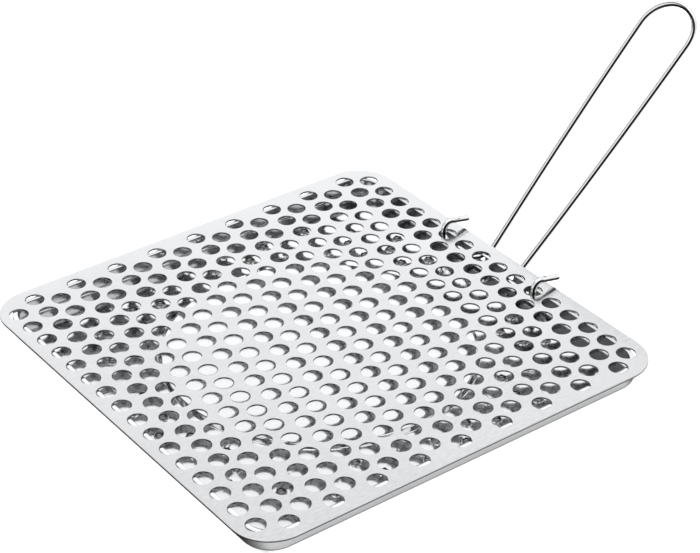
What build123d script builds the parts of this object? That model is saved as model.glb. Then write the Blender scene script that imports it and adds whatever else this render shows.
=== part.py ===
from build123d import *
import math
import os

# Stove-top toast rack: a square perforated grill plate resting on a shallow square tray,
# carried by one bent wire handle that hooks up through two of the plate's holes.
# Millimetres. Origin: centre of the tray's underside. +Z is up and +Y points towards the handle.

# grill plate
PLATE_SIZE = 200.0
PLATE_CORNER = 17.3
PLATE_SHEET = 0.8
PLATE_TOP = 9.9
PLATE_UNDER = PLATE_TOP - PLATE_SHEET
PLATE_EDGE_ROUND = 0.25

# perforation: columns of holes stand side by side along Y, and every second column is staggered
HOLE_RADIUS = 4.05
HOLE_PITCH = 11.45
COLUMN_PITCH = 10.13
COLUMN_SHIFT = 0.36
COLUMNS = 19
HOLES_FULL_COLUMN = 17
HOLES_STAGGERED_COLUMN = 16

# tray
TRAY_SIZE = 189.8
TRAY_CORNER = 12.7
TRAY_SHEET = 0.5
TRAY_HEIGHT = PLATE_UNDER
TRAY_BEND = 2.0
LIP_WIDTH = 2.1

# raised round centre of the tray's floor
CENTRE_FOOT_RADIUS = 65.9
CENTRE_TOP_RADIUS = 64.6
CENTRE_RISE = 1.8
CENTRE_BEND = 0.8
CENTRE_BLEND_RADIUS = 70.0

# vents in the tray's floor: rings of punched holes, each with a raised collar
VENTS_PER_RING = 28
VENT_STEP = 360.0 / VENTS_PER_RING
INNER_VENT_RING = 76.5
MIDDLE_VENT_RING = 84.7
CORNER_VENT_RING = 94.0
CORNER_VENTS_EACH_SIDE = 1
VENT_HOLE_RADIUS = 1.5
VENT_FOOT_RADIUS = 2.4
VENT_TOP_RADIUS = 1.9
VENT_RISE = 1.2

# handle wire
WIRE_RADIUS = 1.3
INCLINE = 44.5
LEG_HEIGHT_AT_EDGE = PLATE_TOP - 2.9
LEG_SPLAY = 3.5
LEG_START = (9.95, 2.0)
LEG_END = (14.25, 119.4)
STEM_X = 30.0
STEM_Y = 89.8
CROSS_HEIGHT = PLATE_TOP - 2.7
WIRE_BEND = 3.0
HOOK_PEAK = PLATE_TOP + 5.05
HOOK_BEND = 3.7
HOOK_SLOPE = 12.5
HOOK_TIP_Y = 103.3

# notches that let the handle's legs out through the tray's wall
NOTCH_X = 9.5
NOTCH_WIDTH = 4.6
NOTCH_FLOOR = PLATE_TOP - 5.7

os.makedirs("parts", exist_ok=True)


def column_holes(index):
    """Centres of one column's holes."""
    staggered = index % 2 == 0
    count = HOLES_STAGGERED_COLUMN if staggered else HOLES_FULL_COLUMN
    shift = -COLUMN_SHIFT if staggered else COLUMN_SHIFT
    y = (index - (COLUMNS - 1) / 2) * COLUMN_PITCH + shift
    first_x = -(count - 1) / 2 * HOLE_PITCH
    return [(first_x + n * HOLE_PITCH, y) for n in range(count)]


def vent_places():
    """Centres of the tray's vents: two full rings and a short run in each corner."""
    places = []
    for n in range(VENTS_PER_RING):
        places.append(Vector(INNER_VENT_RING, 0).rotate(Axis.Z, n * VENT_STEP))
        places.append(Vector(MIDDLE_VENT_RING, 0).rotate(Axis.Z, (n + 0.5) * VENT_STEP))
    for corner in (45, 135, 225, 315):
        for n in range(-CORNER_VENTS_EACH_SIDE, CORNER_VENTS_EACH_SIDE + 1):
            places.append(Vector(CORNER_VENT_RING, 0).rotate(Axis.Z, corner + n * VENT_STEP))
    return [(place.X, place.Y) for place in places]


# ---- grill plate: flat sheet with a hexagonal field of round holes ----
hole_centres = []
for column in range(COLUMNS):
    hole_centres += column_holes(column)

with BuildPart() as grill_plate:
    with BuildSketch(Plane.XY.offset(PLATE_UNDER)):
        RectangleRounded(PLATE_SIZE, PLATE_SIZE, PLATE_CORNER)
    extrude(amount=PLATE_SHEET)
    fillet(grill_plate.edges().group_by(Axis.Z)[-1], radius=PLATE_EDGE_ROUND)
    with BuildSketch(Plane.XY.offset(PLATE_UNDER)):
        with Locations(*hole_centres):
            Circle(HOLE_RADIUS)
    extrude(amount=PLATE_SHEET, mode=Mode.SUBTRACT)
grill_plate.part.label = "grill_plate"

# ---- tray: shallow pan, narrow lip turned in at the top, raised round centre, vents and notches ----
with BuildPart() as tray:
    with BuildSketch(Plane.XY):
        RectangleRounded(TRAY_SIZE, TRAY_SIZE, TRAY_CORNER)
    extrude(amount=TRAY_HEIGHT)
    fillet(tray.edges().group_by(Axis.Z)[0], radius=TRAY_BEND)
    offset(amount=-TRAY_SHEET, openings=tray.faces().sort_by(Axis.Z)[-1])

    # lip
    lip_opening = TRAY_SIZE - 2 * LIP_WIDTH
    with BuildSketch(Plane.XY.offset(TRAY_HEIGHT - TRAY_SHEET)):
        RectangleRounded(TRAY_SIZE, TRAY_SIZE, TRAY_CORNER)
        RectangleRounded(lip_opening, lip_opening, TRAY_CORNER - LIP_WIDTH, mode=Mode.SUBTRACT)
    extrude(amount=TRAY_SHEET)

    # raised centre, pressed up out of the floor with the same sheet thickness
    slope = math.atan2(CENTRE_RISE, CENTRE_FOOT_RADIUS - CENTRE_TOP_RADIUS)
    widen = TRAY_SHEET * math.tan(slope / 2)
    with BuildSketch(Plane.XY):
        Circle(CENTRE_BLEND_RADIUS)
    extrude(amount=TRAY_SHEET, mode=Mode.SUBTRACT)
    with BuildSketch(Plane.XZ):
        with BuildLine():
            under = FilletPolyline(
                (0, CENTRE_RISE),
                (CENTRE_TOP_RADIUS, CENTRE_RISE),
                (CENTRE_FOOT_RADIUS, 0),
                (CENTRE_BLEND_RADIUS, 0),
                radius=CENTRE_BEND,
            )
            over = FilletPolyline(
                (0, CENTRE_RISE + TRAY_SHEET),
                (CENTRE_TOP_RADIUS + widen, CENTRE_RISE + TRAY_SHEET),
                (CENTRE_FOOT_RADIUS + widen, TRAY_SHEET),
                (CENTRE_BLEND_RADIUS, TRAY_SHEET),
                radius=CENTRE_BEND,
            )
            Line(under @ 0, over @ 0)
            Line(under @ 1, over @ 1)
        make_face()
    revolve(axis=Axis.Z)

    # vents
    vents = vent_places()
    with Locations(*[(x, y, TRAY_SHEET) for x, y in vents]):
        Cone(VENT_FOOT_RADIUS, VENT_TOP_RADIUS, VENT_RISE, align=(Align.CENTER, Align.CENTER, Align.MIN))
    with BuildSketch(Plane.XY):
        with Locations(*vents):
            Circle(VENT_HOLE_RADIUS)
    extrude(amount=TRAY_SHEET + VENT_RISE, mode=Mode.SUBTRACT)

    # notches for the handle's legs, open at the top and rounded at the bottom
    notch_height = TRAY_HEIGHT - NOTCH_FLOOR
    with BuildSketch(Plane.XZ.offset(-TRAY_SIZE / 2)):
        with Locations((-NOTCH_X, TRAY_HEIGHT), (NOTCH_X, TRAY_HEIGHT)):
            SlotOverall(2 * notch_height, NOTCH_WIDTH, rotation=90)
    extrude(amount=LIP_WIDTH, mode=Mode.SUBTRACT)
tray.part.label = "tray"

# ---- handle: one wire, symmetric about X = 0 ----
leg_plane = Plane(
    origin=(0, PLATE_SIZE / 2, LEG_HEIGHT_AT_EDGE),
    x_dir=(1, 0, 0),
    z_dir=Vector(0, 0, 1).rotate(Axis.X, INCLINE),
)
splay = math.tan(math.radians(LEG_SPLAY))
fold_along = (CROSS_HEIGHT - LEG_HEIGHT_AT_EDGE) / math.sin(math.radians(INCLINE))
fold_x = LEG_START[0] - (LEG_START[1] - fold_along) * splay
fold = leg_plane.from_local_coords((fold_x, fold_along, 0))
leg_start = leg_plane.from_local_coords((*LEG_START, 0))
leg_end = leg_plane.from_local_coords((*LEG_END, 0))
leg_direction = leg_start - fold
cross_end = Vector(fold.X - (fold.Y - STEM_Y) * splay, STEM_Y, CROSS_HEIGHT)

# the hook's straight part touches the bend over the stem, so its line is set by the bend's radius
slope_angle = math.radians(HOOK_SLOPE)
bend_centre_y = STEM_Y + HOOK_BEND
bend_centre_z = HOOK_PEAK - HOOK_BEND
over_stem_z = bend_centre_z + (HOOK_BEND * (1 + math.sin(slope_angle))) / math.cos(slope_angle)
tip_z = over_stem_z - (HOOK_TIP_Y - STEM_Y) * math.tan(slope_angle)

with BuildPart() as handle:
    with BuildLine() as half_wire:
        hook_and_cross = FilletPolyline(
            (STEM_X, HOOK_TIP_Y, tip_z),
            (STEM_X, STEM_Y, over_stem_z),
            (STEM_X, STEM_Y, CROSS_HEIGHT),
            cross_end,
            fold,
            leg_start,
            radius=[HOOK_BEND, WIRE_BEND, WIRE_BEND, WIRE_BEND],
        )
        leg = TangentArc(leg_start, leg_end, tangent=leg_direction)
        mirror(about=Plane.YZ)
        TangentArc(leg_end, (-leg_end.X, leg_end.Y, leg_end.Z), tangent=leg % 1)
    wire_path = half_wire.wires()[0]
    with BuildSketch(Plane(origin=wire_path @ 0, z_dir=wire_path % 0)):
        Circle(WIRE_RADIUS)
    sweep(path=wire_path)
handle.part.label = "handle"

export_step(grill_plate.part, "parts/grill_plate.step")
export_step(tray.part, "parts/tray.step")
export_step(handle.part, "parts/handle.step")
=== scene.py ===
import math

import bmesh
import bpy
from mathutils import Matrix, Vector


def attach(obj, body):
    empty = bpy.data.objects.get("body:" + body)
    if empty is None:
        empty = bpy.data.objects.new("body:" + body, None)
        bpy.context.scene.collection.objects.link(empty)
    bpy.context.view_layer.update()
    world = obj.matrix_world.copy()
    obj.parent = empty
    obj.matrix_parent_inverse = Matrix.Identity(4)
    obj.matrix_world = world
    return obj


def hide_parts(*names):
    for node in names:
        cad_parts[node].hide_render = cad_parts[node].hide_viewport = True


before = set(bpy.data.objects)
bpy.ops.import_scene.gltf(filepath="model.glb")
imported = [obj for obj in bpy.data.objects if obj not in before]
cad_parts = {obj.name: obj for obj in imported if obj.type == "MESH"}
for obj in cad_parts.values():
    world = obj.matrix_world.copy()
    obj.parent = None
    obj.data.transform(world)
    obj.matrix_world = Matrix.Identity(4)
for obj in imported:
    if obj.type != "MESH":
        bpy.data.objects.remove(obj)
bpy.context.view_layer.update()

MM = 0.001

# ---- driving dimensions, in millimetres, the same as the CAD model's ----
PLATE_HALF = 100.0
PLATE_CORNER = 17.3
PLATE_TOP = 9.9
PLATE_SHEET = 0.8
PLATE_UNDER = PLATE_TOP - PLATE_SHEET

HOLE_RADIUS = 4.05
HOLE_PITCH = 11.45
COLUMN_PITCH = 10.13
COLUMN_SHIFT = 0.36
COLUMNS = 19
HOLES_FULL_COLUMN = 17
HOLES_STAGGERED_COLUMN = 16

TRAY_HALF = 94.9
TRAY_CORNER = 12.7
TRAY_SHEET = 0.5
TRAY_BEND = 2.0
LIP_WIDTH = 2.1

CENTRE_FOOT = 65.9
CENTRE_TOP = 64.6
CENTRE_RISE = 1.8
CENTRE_BEND = 0.8
CENTRE_BLEND = 70.0

VENTS_PER_RING = 28
VENT_RINGS = (76.5, 84.7)
CORNER_VENT_RING = 94.0
VENT_RADIUS = 1.5
VENT_FOOT = 2.4
VENT_TOP = 1.9
VENT_RISE = 1.2

WIRE_RADIUS = 1.3
INCLINE = 44.5
LEG_HEIGHT_AT_EDGE = PLATE_TOP - 2.9
LEG_SPLAY = 3.5
LEG_START = (9.95, 2.0)
LEG_END = (14.25, 119.4)
STEM_X = 30.0
STEM_Y = 89.8
CROSS_HEIGHT = PLATE_TOP - 2.7
WIRE_BEND = 3.0
HOOK_PEAK = PLATE_TOP + 5.05
HOOK_BEND = 3.7
HOOK_SLOPE = 12.5
HOOK_TIP_Y = 103.3

NOTCH_X = 9.5
NOTCH_WIDTH = 4.6
NOTCH_FLOOR = PLATE_TOP - 5.7

# ---- fine shape that only the visual model has, in millimetres ----
OUTLINE_ROUND = 0.3
HOLE_ROUND = 0.16
TIP_ROUND = 0.25
LIP_OUTER_BEND = 0.35
LIP_INNER_BEND = 0.3
CENTRE_FLAT = 59.5
VENT_EASE = 0.2
VENT_EASE_HEIGHT = 0.1
COLLAR_ROUND = 0.2
PETALS = 5
PETAL_DEPTH = 0.45

# a vent's torn collar, from its foot over its rim and down inside:
# radius, height above the floor, and share of the tear's depth
COLLAR_TOE = 0.3
COLLAR_THROAT = 0.2
COLLAR_RISE = VENT_RISE - COLLAR_ROUND
COLLAR_SECTION = (
    (VENT_FOOT, 0.0, 0.0),
    (VENT_FOOT - COLLAR_TOE, COLLAR_TOE / 2, 0.0),
    (VENT_TOP, COLLAR_RISE * 0.7, 0.5),
    (VENT_TOP - COLLAR_ROUND * 0.4, COLLAR_RISE + COLLAR_ROUND * 0.8, 1.0),
    (VENT_TOP - COLLAR_ROUND, COLLAR_RISE + COLLAR_ROUND, 1.0),
    (VENT_TOP - COLLAR_ROUND * 1.6, COLLAR_RISE + COLLAR_ROUND * 0.7, 1.0),
    (VENT_RADIUS, COLLAR_THROAT, 0.0),
)
# the rings of that section between which the collar's inside is painted near-black as shade
SHADED_EDGE_FIRST = 3
SHADED_EDGE_LAST = 6

# ---- fineness of the meshes: points or steps on each curve ----
CORNER_STEPS = 16
SIDE_STEPS = 12
OUTLINE_ROUND_STEPS = 4
HOLE_POINTS = 40
HOLE_ROUND_STEPS = 3
WIRE_POINTS = 32
WIRE_BEND_STEP = 6.0
LEG_STEPS = 40
LOOP_STEPS = 48
TIP_ANGLES = (90, 60, 30, 0)
TRAY_BEND_STEPS = 6
LIP_BEND_STEPS = 3
CENTRE_POINTS = 160
CENTRE_BEND_STEP = 8.0
COLLAR_POINTS = 30
NOTCH_STEPS = 12

MERGE_DISTANCE = 1e-7

# the material slot for cut edges painted near-black as shade: the lip's inner edge and the insides of the
# vents
SHADED_EDGE = 1


# ---- mesh helpers ----
def ring(bm, points):
    """A closed ring of new vertices at points given in millimetres."""
    return [bm.verts.new(Vector(p) * MM) for p in points]


def bridge(bm, lower, upper, slot=0):
    """Quads between two closed rings with the same count, in one of the piece's material slots."""
    count = len(lower)
    for n in range(count):
        after = (n + 1) % count
        face = bm.faces.new((lower[n], lower[after], upper[after], upper[n]))
        face.material_index = slot


def loft(bm, rings, slot=0):
    """Quads along a row of closed rings."""
    for lower, upper in zip(rings, rings[1:]):
        bridge(bm, lower, upper, slot)


def fill(bm, rings):
    """A flat face with triangles between an outer ring and the rings inside it."""
    edges = []
    for points in rings:
        for n, vert in enumerate(points):
            following = points[(n + 1) % len(points)]
            edges.append(bm.edges.get((vert, following)) or bm.edges.new((vert, following)))
    bmesh.ops.triangle_fill(bm, use_beauty=True, use_dissolve=False, edges=edges)


def circle(x, y, z, radius, count):
    """Points of a level circle."""
    turns = [math.tau * n / count for n in range(count)]
    return [(x + radius * math.cos(t), y + radius * math.sin(t), z) for t in turns]


def rounded_square(half, corner, z):
    """Points of a level square with round corners, anticlockwise, its sides divided evenly."""
    points = []
    inner = half - corner
    centres = ((inner, inner), (-inner, inner), (-inner, -inner), (inner, -inner))
    for quarter, (x, y) in enumerate(centres):
        for n in range(CORNER_STEPS + 1):
            turn = math.radians(90 * (quarter + n / CORNER_STEPS))
            points.append((x + corner * math.cos(turn), y + corner * math.sin(turn), z))
        start = Vector(points[-1])
        turn = math.radians(90 * (quarter + 1))
        next_x, next_y = centres[(quarter + 1) % 4]
        stop = Vector((next_x + corner * math.cos(turn), next_y + corner * math.sin(turn), z))
        for n in range(1, SIDE_STEPS):
            points.append(tuple(start.lerp(stop, n / SIDE_STEPS)))
    return points


def arc_section(centre, radius, start, stop, steps):
    """Points of an arc in a section, from one angle to the other, in degrees."""
    turns = [math.radians(start + (stop - start) * n / steps) for n in range(steps + 1)]
    return [(centre[0] + radius * math.cos(t), centre[1] + radius * math.sin(t)) for t in turns]


def fillet_path(corners, radii, step):
    """Points along straight runs between corners, each inner corner rounded; step is in degrees."""
    points = [corners[0]]
    for before, corner, after, radius in zip(corners, corners[1:], corners[2:], radii):
        back = (before - corner).normalized()
        ahead = (after - corner).normalized()
        half_angle = back.angle(ahead) / 2
        centre = corner + (back + ahead).normalized() * (radius / math.sin(half_angle))
        first = corner + back * (radius / math.tan(half_angle)) - centre
        last = corner + ahead * (radius / math.tan(half_angle)) - centre
        count = max(2, math.ceil(math.degrees(first.angle(last)) / step))
        for n in range(count + 1):
            points.append(centre + first.slerp(last, n / count) * radius)
    points.append(corners[-1])
    return points


def tangent_arc(start, direction, stop, count):
    """Points of the plane arc that leaves start along direction and ends at stop, without start."""
    chord = stop - start
    lean = direction.angle_signed(chord)
    radius = chord.length / (2 * math.sin(lean))
    side = Vector((direction.y, -direction.x)).normalized()
    centre = start + side * radius
    spoke = start - centre
    points = []
    for n in range(1, count + 1):
        turn = -2 * lean * n / count
        cos, sin = math.cos(turn), math.sin(turn)
        points.append(centre + Vector((spoke.x * cos - spoke.y * sin, spoke.x * sin + spoke.y * cos)))
    return points


def finish_mesh(bm, name, body, node, *materials):
    """Turns a bmesh into a piece that stands for a CAD node and rides on its body."""
    bmesh.ops.remove_doubles(bm, verts=bm.verts, dist=MERGE_DISTANCE)
    bmesh.ops.recalc_face_normals(bm, faces=bm.faces)
    mesh = bpy.data.meshes.new(name)
    bm.to_mesh(mesh)
    bm.free()
    mesh.shade_smooth()
    piece = bpy.data.objects.new(name, mesh)
    bpy.context.scene.collection.objects.link(piece)
    for material in materials:
        mesh.materials.append(material)
    weighted = piece.modifiers.new("even_normals", "WEIGHTED_NORMAL")
    weighted.weight = 100
    weighted.keep_sharp = False
    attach(piece, body)
    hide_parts(node)
    return piece


# ---- material helpers ----
def connect(links, sockets, values):
    """Gives each socket its value, which is another node's socket or a plain value."""
    for socket, value in zip(sockets, values):
        if isinstance(value, bpy.types.NodeSocket):
            links.new(value, socket)
        else:
            socket.default_value = value


def maths(nodes, links, operation, *values):
    """The result of a sum on one or two numbers."""
    node = nodes.new("ShaderNodeMath")
    node.operation = operation
    connect(links, node.inputs, values)
    return node.outputs["Value"]


def vector_maths(nodes, links, operation, *values):
    """The result of a sum on one or two vectors."""
    node = nodes.new("ShaderNodeVectorMath")
    node.operation = operation
    connect(links, node.inputs, values)
    return node.outputs["Value" if operation == "DOT_PRODUCT" else "Vector"]


def spread(nodes, links, value, low, high, start, stop, curve="LINEAR"):
    """Maps a value from start..stop to low..high."""
    mapped = nodes.new("ShaderNodeMapRange")
    mapped.interpolation_type = curve
    mapped.inputs["From Min"].default_value = start
    mapped.inputs["From Max"].default_value = stop
    mapped.inputs["To Min"].default_value = low
    mapped.inputs["To Max"].default_value = high
    links.new(value, mapped.inputs["Value"])
    return mapped.outputs["Result"]


def split(nodes, links, vector):
    """The X, Y and Z sockets of a vector."""
    parts = nodes.new("ShaderNodeSeparateXYZ")
    links.new(vector, parts.inputs["Vector"])
    return parts.outputs["X"], parts.outputs["Y"], parts.outputs["Z"]


def noise(nodes, links, place, scale, stretch, detail):
    """Noise in object space, its features stretched along the axes with a small factor."""
    mapping = nodes.new("ShaderNodeMapping")
    mapping.inputs["Scale"].default_value = stretch
    links.new(place, mapping.inputs["Vector"])
    texture = nodes.new("ShaderNodeTexNoise")
    texture.inputs["Scale"].default_value = scale
    texture.inputs["Detail"].default_value = detail
    links.new(mapping.outputs["Vector"], texture.inputs["Vector"])
    return texture.outputs["Fac"]


def new_material(name):
    """A new material, with its nodes, links, shader and object-space place."""
    material = bpy.data.materials.new(name)
    material.use_nodes = True
    nodes = material.node_tree.nodes
    links = material.node_tree.links
    nodes.clear()
    output = nodes.new("ShaderNodeOutputMaterial")
    shader = nodes.new("ShaderNodeBsdfPrincipled")
    coordinates = nodes.new("ShaderNodeTexCoord")
    links.new(shader.outputs["BSDF"], output.inputs["Surface"])
    return material, nodes, links, shader, coordinates.outputs["Object"]


# ---- steel ----
CLOUD_SCALE = 35.0
CLOUD_DETAIL = 4.0
CLOUD_SHARE = 0.6
GRAIN_DETAIL = 5.0
GRAIN_SHARE = 0.4
GRAIN_LOW = 0.3
GRAIN_HIGH = 0.7
BUMP_HEIGHT = 0.02

# how level a face is (1 level, 0 upright) where the painted shade on upright faces is full and where it
# ends
SIDE_SHADE_FULL = 0.1
SIDE_SHADE_END = 0.8
# the Z of a face's normal where the painted shade on undersides is full and where it ends
UNDER_SHADE_FULL = -0.8
UNDER_SHADE_END = -0.2

# the painted dark core of a bright wire's reflection: how far it is lowered, its tone, and where it starts
# and is full
CORE_LOWERED = 0.45
CORE_TONE = 0.02
CORE_START = 0.87
CORE_FULL = 0.95
# the painted dark outline of a bright wire's reflection: its tone, and where it is full and where it ends
OUTLINE_TONE = 0.3
OUTLINE_FULL = 0.3
OUTLINE_END = 0.55


def painted_wire_reflection(nodes, links):
    """Painted reflection across a bright round wire, following the eye: a dark core a little below the
    middle, and a thin dark outline.
    """
    along = nodes.new("ShaderNodeAttribute")
    along.attribute_name = "along"
    in_world = nodes.new("ShaderNodeVectorTransform")
    in_world.vector_type = "VECTOR"
    in_world.convert_from = "OBJECT"
    in_world.convert_to = "WORLD"
    links.new(along.outputs["Vector"], in_world.inputs["Vector"])
    geometry = nodes.new("ShaderNodeNewGeometry")
    eye = geometry.outputs["Incoming"]
    lowered_eye = vector_maths(nodes, links, "ADD", eye, (0.0, 0.0, -CORE_LOWERED))
    facings = []
    for direction in (lowered_eye, eye):
        lengthwise = vector_maths(nodes, links, "PROJECT", direction, in_world.outputs["Vector"])
        across = vector_maths(nodes, links, "SUBTRACT", direction, lengthwise)
        across = vector_maths(nodes, links, "NORMALIZE", across)
        facings.append(vector_maths(nodes, links, "DOT_PRODUCT", across, geometry.outputs["Normal"]))
    core = spread(nodes, links, facings[0], 1.0, CORE_TONE, CORE_START, CORE_FULL)
    outline = spread(nodes, links, facings[1], OUTLINE_TONE, 1.0, OUTLINE_FULL, OUTLINE_END)
    return maths(nodes, links, "MULTIPLY", core, outline)


def steel(name, dark, light, rough_low, rough_high, grain, stretch, bump, side=1.0, under=1.0, wire=False):
    """Stainless steel: cloudy colour, fine drawn grain in its roughness, and a faint bump.

    side and under darken the colour of upright faces and of faces that look down, as painted shade.
    wire adds a painted reflection: the dark core and thin dark outline of bright round wire."""
    material, nodes, links, shader, place = new_material(name)
    clouds = noise(nodes, links, place, CLOUD_SCALE, (1, 1, 1), CLOUD_DETAIL)
    lines = noise(nodes, links, place, grain, stretch, GRAIN_DETAIL)

    cloudy = maths(nodes, links, "MULTIPLY", clouds, CLOUD_SHARE)
    lined = spread(nodes, links, lines, 0.0, GRAIN_SHARE, GRAIN_LOW, GRAIN_HIGH)
    mixed = nodes.new("ShaderNodeMix")
    mixed.data_type = "RGBA"
    mixed.inputs["A"].default_value = (*dark, 1.0)
    mixed.inputs["B"].default_value = (*light, 1.0)
    links.new(maths(nodes, links, "ADD", cloudy, lined), mixed.inputs["Factor"])

    geometry = nodes.new("ShaderNodeNewGeometry")
    upward = split(nodes, links, geometry.outputs["True Normal"])[2]
    level = maths(nodes, links, "ABSOLUTE", upward)
    # painted shade: upright faces and undersides drawn darker in the colour itself
    side_shade = spread(nodes, links, level, side, 1.0, SIDE_SHADE_FULL, SIDE_SHADE_END)
    under_shade = spread(nodes, links, upward, under, 1.0, UNDER_SHADE_FULL, UNDER_SHADE_END)
    tone = maths(nodes, links, "MINIMUM", side_shade, under_shade)
    # painted reflection: the wire's dark core and dark outline
    if wire:
        tone = maths(nodes, links, "MULTIPLY", tone, painted_wire_reflection(nodes, links))
    colour = vector_maths(nodes, links, "MULTIPLY", mixed.outputs["Result"], tone)

    ripple = nodes.new("ShaderNodeBump")
    ripple.inputs["Strength"].default_value = bump
    ripple.inputs["Distance"].default_value = BUMP_HEIGHT * MM
    links.new(lines, ripple.inputs["Height"])

    shader.inputs["Metallic"].default_value = 1.0
    links.new(colour, shader.inputs["Base Color"])
    roughness = spread(nodes, links, lines, rough_low, rough_high, GRAIN_LOW, GRAIN_HIGH)
    links.new(roughness, shader.inputs["Roughness"])
    links.new(ripple.outputs["Normal"], shader.inputs["Normal"])
    return material


plate_steel = steel(
    "plate_satin_steel",
    dark=(0.625, 0.635, 0.65),
    light=(0.775, 0.78, 0.79),
    rough_low=0.1,
    rough_high=0.24,
    grain=900.0,
    stretch=(1.0, 0.35, 1.0),
    bump=0.5,
    # painted shade: the hole walls and the sheet's underside drawn darker
    side=0.3,
    under=0.55,
)
tray_steel = steel(
    "tray_brushed_steel",
    dark=(0.78, 0.79, 0.8),
    light=(0.93, 0.93, 0.94),
    rough_low=0.07,
    rough_high=0.13,
    grain=700.0,
    stretch=(1.0, 1.0, 4.0),
    bump=0.2,
    # painted shade: the upright walls drawn darker
    side=0.72,
)
# near-black steel on cut edges: painted shade along the lip's inner edge and inside the vents
edge_shade_steel = steel(
    "edge_painted_shade_steel",
    dark=(0.08, 0.08, 0.08),
    light=(0.2, 0.2, 0.2),
    rough_low=0.3,
    rough_high=0.5,
    grain=900.0,
    stretch=(1.0, 1.0, 1.0),
    bump=0.5,
)
wire_steel = steel(
    "wire_polished_steel",
    dark=(0.82, 0.82, 0.83),
    light=(0.96, 0.96, 0.97),
    rough_low=0.02,
    rough_high=0.06,
    grain=1500.0,
    stretch=(1.0, 0.2, 0.2),
    bump=0.15,
    # painted reflection: a dark core and dark outline that follow the eye
    wire=True,
)


# ---- grill plate ----
def hole_centres():
    """Centres of the plate's holes, column by column along Y."""
    centres = []
    for column in range(COLUMNS):
        staggered = column % 2 == 0
        count = HOLES_STAGGERED_COLUMN if staggered else HOLES_FULL_COLUMN
        shift = -COLUMN_SHIFT if staggered else COLUMN_SHIFT
        y = (column - (COLUMNS - 1) / 2) * COLUMN_PITCH + shift
        for n in range(count):
            centres.append(((n - (count - 1) / 2) * HOLE_PITCH, y))
    return centres


def plate_edge_section(rounding, steps):
    """(inset, height) up a cut edge of the plate's sheet, its top edge rounded over."""
    section = [(0.0, PLATE_UNDER), (0.0, PLATE_TOP - rounding)]
    for n in range(1, steps + 1):
        turn = math.radians(90 * n / steps)
        inset = rounding * (1 - math.cos(turn))
        section.append((inset, PLATE_TOP - rounding * (1 - math.sin(turn))))
    return section


def build_plate():
    """The perforated sheet, each punched hole with a rolled-over top edge."""
    bm = bmesh.new()
    section = plate_edge_section(OUTLINE_ROUND, OUTLINE_ROUND_STEPS)
    outline = [ring(bm, rounded_square(PLATE_HALF - d, PLATE_CORNER - d, z)) for d, z in section]
    loft(bm, outline)
    under = [outline[0]]
    top = [outline[-1]]
    section = plate_edge_section(HOLE_ROUND, HOLE_ROUND_STEPS)
    for x, y in hole_centres():
        walls = [ring(bm, circle(x, y, z, HOLE_RADIUS + d, HOLE_POINTS)) for d, z in section]
        loft(bm, walls)
        under.append(walls[0])
        top.append(walls[-1])
    fill(bm, under)
    fill(bm, top)
    return finish_mesh(bm, "perforated_plate", "grill_body", "grill_plate", plate_steel)


# ---- handle ----
def on_legs(x, along):
    """A point in the slanted plane of the handle's legs, along being up the slope from the plate's rim."""
    incline = math.radians(INCLINE)
    y = PLATE_HALF + along * math.cos(incline)
    return Vector((x, y, LEG_HEIGHT_AT_EDGE + along * math.sin(incline)))


def hook_path():
    """The wire's centreline from one hook's tip to the foot of its leg."""
    splay = math.tan(math.radians(LEG_SPLAY))
    slope = math.radians(HOOK_SLOPE)
    fold_along = (CROSS_HEIGHT - LEG_HEIGHT_AT_EDGE) / math.sin(math.radians(INCLINE))
    fold = on_legs(LEG_START[0] - (LEG_START[1] - fold_along) * splay, fold_along)
    cross_end = Vector((fold.x - (fold.y - STEM_Y) * splay, STEM_Y, CROSS_HEIGHT))
    over_stem = HOOK_PEAK - HOOK_BEND + HOOK_BEND * (1 + math.sin(slope)) / math.cos(slope)
    tip_height = over_stem - (HOOK_TIP_Y - STEM_Y) * math.tan(slope)
    corners = [
        Vector((STEM_X, HOOK_TIP_Y, tip_height)),
        Vector((STEM_X, STEM_Y, over_stem)),
        Vector((STEM_X, STEM_Y, CROSS_HEIGHT)),
        cross_end,
        fold,
        on_legs(*LEG_START),
    ]
    return fillet_path(corners, [HOOK_BEND, WIRE_BEND, WIRE_BEND, WIRE_BEND], WIRE_BEND_STEP)


def handle_path():
    """The wire's centreline from one hook's tip to the other's."""
    leg_start = Vector(LEG_START)
    leg_end = Vector(LEG_END)
    heading = Vector((math.tan(math.radians(LEG_SPLAY)), 1.0)).normalized()
    leg = tangent_arc(leg_start, heading, leg_end, LEG_STEPS)
    chord = (leg_end - leg_start).normalized()
    end_heading = chord * 2 * chord.dot(heading) - heading
    loop = tangent_arc(leg_end, end_heading, Vector((-leg_end.x, leg_end.y)), LOOP_STEPS)
    half = hook_path() + [on_legs(*p) for p in leg]
    other_half = [Vector((-p.x, p.y, p.z)) for p in reversed(half)]
    return half + [on_legs(*p) for p in loop[:-1]] + other_half


def wire_frames(path):
    """For each point of a path, the wire's direction and the two axes across it, without twist."""
    side = Vector((1.0, 0.0, 0.0))
    frames = []
    for n in range(len(path)):
        before = path[max(n - 1, 0)]
        after = path[min(n + 1, len(path) - 1)]
        tangent = (after - before).normalized()
        side = (side - tangent * side.dot(tangent)).normalized()
        frames.append((tangent, side, tangent.cross(side)))
    return frames


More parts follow.
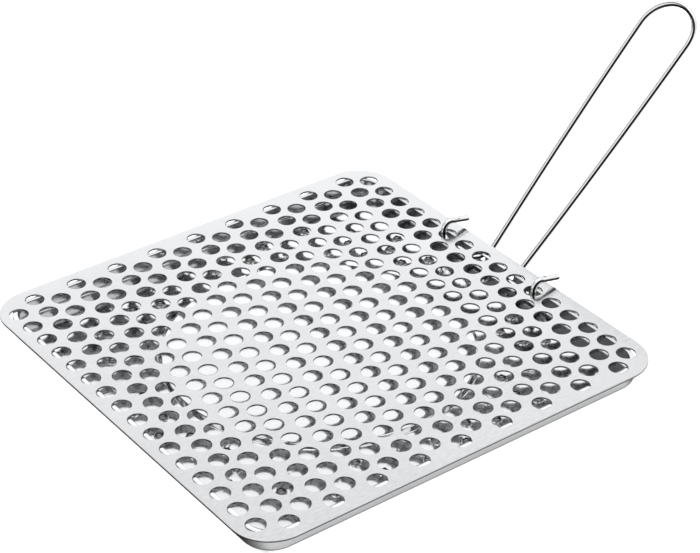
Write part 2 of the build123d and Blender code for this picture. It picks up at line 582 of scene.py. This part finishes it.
def build_handle():
    """The bent wire: a round section carried along its centreline, its cut ends slightly rounded."""
    path = handle_path()
    frames = wire_frames(path)
    bm = bmesh.new()
    along = bm.verts.layers.float_vector.new("along")
    turns = [math.tau * n / WIRE_POINTS for n in range(WIRE_POINTS)]

    def section(centre, axes, radius):
        tangent, side, across = axes
        around = ring(bm, [centre + (side * math.cos(t) + across * math.sin(t)) * radius for t in turns])
        for vert in around:
            vert[along] = tangent
        return around

    tip_steps = []
    for angle in TIP_ANGLES:
        turn = math.radians(angle)
        inward = TIP_ROUND * (1 - math.sin(turn))
        tip_steps.append((inward, WIRE_RADIUS - TIP_ROUND * (1 - math.cos(turn))))
    rings = []
    for inward, radius in tip_steps:
        rings.append(section(path[0] + frames[0][0] * inward, frames[0], radius))
    for centre, axes in zip(path[1:-1], frames[1:-1]):
        rings.append(section(centre, axes, WIRE_RADIUS))
    for inward, radius in reversed(tip_steps):
        rings.append(section(path[-1] - frames[-1][0] * inward, frames[-1], radius))
    loft(bm, rings)
    bm.faces.new(rings[0])
    bm.faces.new(rings[-1])
    return finish_mesh(bm, "handle_wire", "handle_body", "handle", wire_steel)


# ---- tray ----
def vent_centres():
    """Centres of the tray's vents: two full rings and a short run in each corner."""
    step = math.tau / VENTS_PER_RING
    centres = []
    for radius, shift in zip(VENT_RINGS, (0.0, 0.5)):
        for n in range(VENTS_PER_RING):
            turn = (n + shift) * step
            centres.append((radius * math.cos(turn), radius * math.sin(turn)))
    for corner in (45, 135, 225, 315):
        for n in (-1, 0, 1):
            turn = math.radians(corner) + n * step
            centres.append((CORNER_VENT_RING * math.cos(turn), CORNER_VENT_RING * math.sin(turn)))
    return centres


def pan_sections():
    """(inset, height) of the pan's outside, from the floor up, and of its inside, from the lip down."""
    lip_under = PLATE_UNDER - TRAY_SHEET
    bend_centre = (TRAY_BEND, TRAY_BEND)
    outer_centre = (LIP_OUTER_BEND, PLATE_UNDER - LIP_OUTER_BEND)
    inner_centre = (TRAY_SHEET + LIP_INNER_BEND, lip_under - LIP_INNER_BEND)
    outside = arc_section(bend_centre, TRAY_BEND, 270, 180, TRAY_BEND_STEPS)
    outside += arc_section(outer_centre, LIP_OUTER_BEND, 180, 90, LIP_BEND_STEPS)
    inside = [(LIP_WIDTH, PLATE_UNDER), (LIP_WIDTH, lip_under)]
    inside += arc_section(inner_centre, LIP_INNER_BEND, 90, 180, LIP_BEND_STEPS)
    inside += arc_section(bend_centre, TRAY_BEND - TRAY_SHEET, 180, 270, TRAY_BEND_STEPS)
    return outside, inside


def vent_opening(bm, x, y):
    """The slightly eased edge of a vent in the floor's underside."""
    return ring(bm, circle(x, y, 0.0, VENT_RADIUS + VENT_EASE, COLLAR_POINTS))


def build_vent(bm, x, y, turned):
    """One vent, from the foot of its torn collar over the petals and down the hole; gives its foot."""
    rings = []
    for radius, height, torn in COLLAR_SECTION:
        points = []
        for n in range(COLLAR_POINTS):
            turn = math.tau * n / COLLAR_POINTS
            dip = PETAL_DEPTH * torn * abs(math.sin(PETALS * turn / 2 + turned))
            z = TRAY_SHEET + height - dip
            points.append((x + radius * math.cos(turn), y + radius * math.sin(turn), z))
        rings.append(ring(bm, points))
    rings.append(ring(bm, circle(x, y, VENT_EASE_HEIGHT, VENT_RADIUS, COLLAR_POINTS)))
    rings.append(vent_opening(bm, x, y))
    loft(bm, rings[:SHADED_EDGE_FIRST + 1])
    # the collar's inside, painted near-black as the shade in the hole
    loft(bm, rings[SHADED_EDGE_FIRST:SHADED_EDGE_LAST + 1], slot=SHADED_EDGE)
    loft(bm, rings[SHADED_EDGE_LAST:])
    return rings[0]


def build_centre(bm, base, shift):
    """One face of the raised round centre at a height, its step moved outwards; gives its outer ring."""
    corners = [
        Vector((CENTRE_BLEND, base, 0)),
        Vector((CENTRE_FOOT + shift, base, 0)),
        Vector((CENTRE_TOP + shift, base + CENTRE_RISE, 0)),
        Vector((CENTRE_FLAT, base + CENTRE_RISE, 0)),
    ]
    path = fillet_path(corners, [CENTRE_BEND, CENTRE_BEND], CENTRE_BEND_STEP)
    rings = [ring(bm, circle(0, 0, p.y, p.x, CENTRE_POINTS)) for p in path]
    loft(bm, rings)
    fill(bm, [rings[-1]])
    return rings[0]


def build_tray():
    """The pressed pan: rounded walls with a lip, a raised round centre and collared vents in its floor."""
    bm = bmesh.new()
    outside, inside = pan_sections()
    outer = [ring(bm, rounded_square(TRAY_HALF - d, TRAY_CORNER - d, z)) for d, z in outside]
    inner = [ring(bm, rounded_square(TRAY_HALF - d, TRAY_CORNER - d, z)) for d, z in inside]
    loft(bm, outer + inner[:1])
    # the lip's inner edge, painted near-black as shade
    loft(bm, inner[:2], slot=SHADED_EDGE)
    loft(bm, inner[1:])

    # the floor's underside
    centre_edge = build_centre(bm, 0.0, 0.0)
    openings = [vent_opening(bm, x, y) for x, y in vent_centres()]
    fill(bm, [outer[0], centre_edge] + openings)

    # the floor's top, its step moved out so that the sheet keeps its thickness
    slope = math.atan2(CENTRE_RISE, CENTRE_FOOT - CENTRE_TOP)
    centre_edge = build_centre(bm, TRAY_SHEET, TRAY_SHEET * math.tan(slope / 2))
    feet = [build_vent(bm, x, y, turned=n) for n, (x, y) in enumerate(vent_centres())]
    fill(bm, [inner[-1], centre_edge] + feet)
    return finish_mesh(bm, "pressed_tray", "tray_body", "tray", tray_steel, edge_shade_steel)


# how far the notch cutter reaches past the lip's edge, and past the wall and its top, in millimetres
CUTTER_INWARD = 0.5
CUTTER_PAST = 1.0


def notch_cutter():
    """A temporary object with the two notches' shapes, rounded at the bottom and open at the top."""
    bm = bmesh.new()
    radius = NOTCH_WIDTH / 2
    bottom = (0.0, NOTCH_FLOOR + radius)
    top = PLATE_UNDER + CUTTER_PAST
    section = [(-radius, top)] + arc_section(bottom, radius, 180, 360, NOTCH_STEPS) + [(radius, top)]
    for centre in (-NOTCH_X, NOTCH_X):
        near = ring(bm, [(centre + x, TRAY_HALF - LIP_WIDTH - CUTTER_INWARD, z) for x, z in section])
        far = ring(bm, [(centre + x, TRAY_HALF + CUTTER_PAST, z) for x, z in section])
        bridge(bm, near, far)
        bm.faces.new(near)
        bm.faces.new(far)
    bmesh.ops.recalc_face_normals(bm, faces=bm.faces)
    mesh = bpy.data.meshes.new("notch_cutter")
    bm.to_mesh(mesh)
    bm.free()
    cutter = bpy.data.objects.new("notch_cutter", mesh)
    bpy.context.scene.collection.objects.link(cutter)
    return cutter


def cut_notches(piece):
    """Cuts the two open notches for the handle's legs out of the pan's far wall."""
    cutter = notch_cutter()
    cut = piece.modifiers.new("notches", "BOOLEAN")
    cut.operation = "DIFFERENCE"
    cut.object = cutter
    cut.solver = "EXACT"
    piece.modifiers.move(len(piece.modifiers) - 1, 0)
    bpy.context.view_layer.update()
    evaluated = piece.evaluated_get(bpy.context.evaluated_depsgraph_get())
    cut_mesh = bpy.data.meshes.new_from_object(evaluated)
    piece.modifiers.remove(cut)
    piece.data = cut_mesh
    bpy.data.objects.remove(cutter)


build_plate()
build_handle()
cut_notches(build_tray())


# ---- floor ----
FLOOR_REACH = 6.0
FLOOR_DROP = 0.2
FLOOR_TONE = 0.93
FLOOR_ROUGHNESS = 0.9

# the floor as steel mirrors it, by the X of the direction back along the mirrored ray:
# its tone, from rays that travel towards +X to rays that travel towards -X
MIRROR_TONES = (1.0, 0.1)
MIRROR_TONE_SPAN = (-0.5, 0.6)
# and its glow, likewise
MIRROR_GLOWS = (0.35, 0.0)
MIRROR_GLOW_SPAN = (-0.6, -0.1)

# distance from the middle, in millimetres, where the white glow that the camera sees starts and is full
GLOW_START = TRAY_HALF - 8.0
GLOW_FULL = TRAY_HALF + 1.0


def floor_material():
    """Matt white: plain white to the camera outside the tray, and darker where steel mirrors it."""
    material, nodes, links, shader, place = new_material("floor_white")
    rays = nodes.new("ShaderNodeLightPath")
    mirrored = rays.outputs["Is Glossy Ray"]
    geometry = nodes.new("ShaderNodeNewGeometry")
    incoming_x = split(nodes, links, geometry.outputs["Incoming"])[0]
    tone = nodes.new("ShaderNodeMix")
    tone.data_type = "RGBA"
    tone.inputs["A"].default_value = (FLOOR_TONE, FLOOR_TONE, FLOOR_TONE, 1.0)
    links.new(spread(nodes, links, incoming_x, *MIRROR_TONES, *MIRROR_TONE_SPAN), tone.inputs["B"])
    links.new(mirrored, tone.inputs["Factor"])

    place_x, place_y, _ = split(nodes, links, place)
    reach_x = maths(nodes, links, "ABSOLUTE", place_x)
    reach_y = maths(nodes, links, "ABSOLUTE", place_y)
    reach = maths(nodes, links, "MAXIMUM", reach_x, reach_y)
    outside = spread(nodes, links, reach, 0.0, 1.0, GLOW_START * MM, GLOW_FULL * MM)
    seen_glow = maths(nodes, links, "MULTIPLY", rays.outputs["Is Camera Ray"], outside)
    mirror_glow = spread(nodes, links, incoming_x, *MIRROR_GLOWS, *MIRROR_GLOW_SPAN)
    mirror_glow = maths(nodes, links, "MULTIPLY", mirrored, mirror_glow)

    shader.inputs["Roughness"].default_value = FLOOR_ROUGHNESS
    links.new(tone.outputs["Result"], shader.inputs["Base Color"])
    shader.inputs["Emission Color"].default_value = (1.0, 1.0, 1.0, 1.0)
    links.new(maths(nodes, links, "ADD", mirror_glow, seen_glow), shader.inputs["Emission Strength"])
    return material


def build_floor():
    """A wide pale floor, just under the object's rest face."""
    corners = [(-FLOOR_REACH, -FLOOR_REACH, 0), (FLOOR_REACH, -FLOOR_REACH, 0)]
    corners += [(FLOOR_REACH, FLOOR_REACH, 0), (-FLOOR_REACH, FLOOR_REACH, 0)]
    mesh = bpy.data.meshes.new("floor")
    mesh.from_pydata(corners, [], [(0, 1, 2, 3)])
    mesh.materials.append(floor_material())
    floor = bpy.data.objects.new("floor", mesh)
    floor.location.z = -FLOOR_DROP * MM
    bpy.context.scene.collection.objects.link(floor)


# ---- light and camera ----
# soft round cards in the tent, each with its direction, the angles in degrees
# from there where it is full and where it ends, and its brightness against the tent's
CARDS = (
    ((0.90, -0.25, 0.35), 20, 36, 0.3),
    ((-0.64, -0.58, 0.50), 11, 21, 0.15),
    ((-0.80, 0.60, 0.0), 14, 26, 0.2),
    ((-0.76, 0.57, 0.32), 5, 38, 1.45),
    ((-0.46, 0.34, 0.82), 5, 32, 0.7),
)

OVERHEAD_PLACE = Vector((-0.3, 0.1, 1.4))
OVERHEAD_SIZE = 1.4
OVERHEAD_WATTS = 3

CAMERA_PLACE = Vector((0.6157, -0.4461, 0.5273))
CAMERA_TARGET = Vector((-0.0266, 0.0357, 0.0099))
CAMERA_LENS = 115.4
CAMERA_SENSOR = 36.0


def aim(item, target):
    """Turns a light or camera to look from its place at a point."""
    item.rotation_euler = (target - item.location).to_track_quat("-Z", "Y").to_euler()


def build_world():
    """A white tent with soft cards, which give bright steel its dark cores and the plate its shading."""
    world = bpy.data.worlds.new("studio")
    bpy.context.scene.world = world
    world.use_nodes = True
    nodes = world.node_tree.nodes
    links = world.node_tree.links
    nodes.clear()
    output = nodes.new("ShaderNodeOutputWorld")
    background = nodes.new("ShaderNodeBackground")
    coordinates = nodes.new("ShaderNodeTexCoord")
    brightness = 1.0
    for direction, full, end, tone in CARDS:
        middle = Vector(direction).normalized()
        towards = vector_maths(nodes, links, "DOT_PRODUCT", coordinates.outputs["Generated"], middle)
        start, stop = math.cos(math.radians(end)), math.cos(math.radians(full))
        card = spread(nodes, links, towards, 1.0, tone, start, stop, curve="SMOOTHSTEP")
        brightness = maths(nodes, links, "MULTIPLY", brightness, card)
    rays = nodes.new("ShaderNodeLightPath")
    seen = maths(nodes, links, "MAXIMUM", brightness, rays.outputs["Is Camera Ray"])
    links.new(seen, background.inputs["Color"])
    links.new(background.outputs["Background"], output.inputs["Surface"])


def build_overhead():
    """A soft square light above the rack."""
    light = bpy.data.lights.new("overhead", "AREA")
    light.shape = "RECTANGLE"
    light.size = OVERHEAD_SIZE
    light.size_y = OVERHEAD_SIZE
    light.energy = OVERHEAD_WATTS
    holder = bpy.data.objects.new("overhead", light)
    holder.location = OVERHEAD_PLACE
    aim(holder, Vector((0, 0, 0)))
    bpy.context.scene.collection.objects.link(holder)


def build_camera():
    """A long lens, looking down on the rack from the front right."""
    data = bpy.data.cameras.new("camera")
    data.lens = CAMERA_LENS
    data.sensor_width = CAMERA_SENSOR
    data.sensor_fit = "HORIZONTAL"
    camera = bpy.data.objects.new("camera", data)
    camera.location = CAMERA_PLACE
    aim(camera, CAMERA_TARGET)
    bpy.context.scene.collection.objects.link(camera)
    bpy.context.scene.camera = camera


build_floor()
build_world()
build_camera()
build_overhead()
bpy.context.scene.view_settings.view_transform = "Standard"
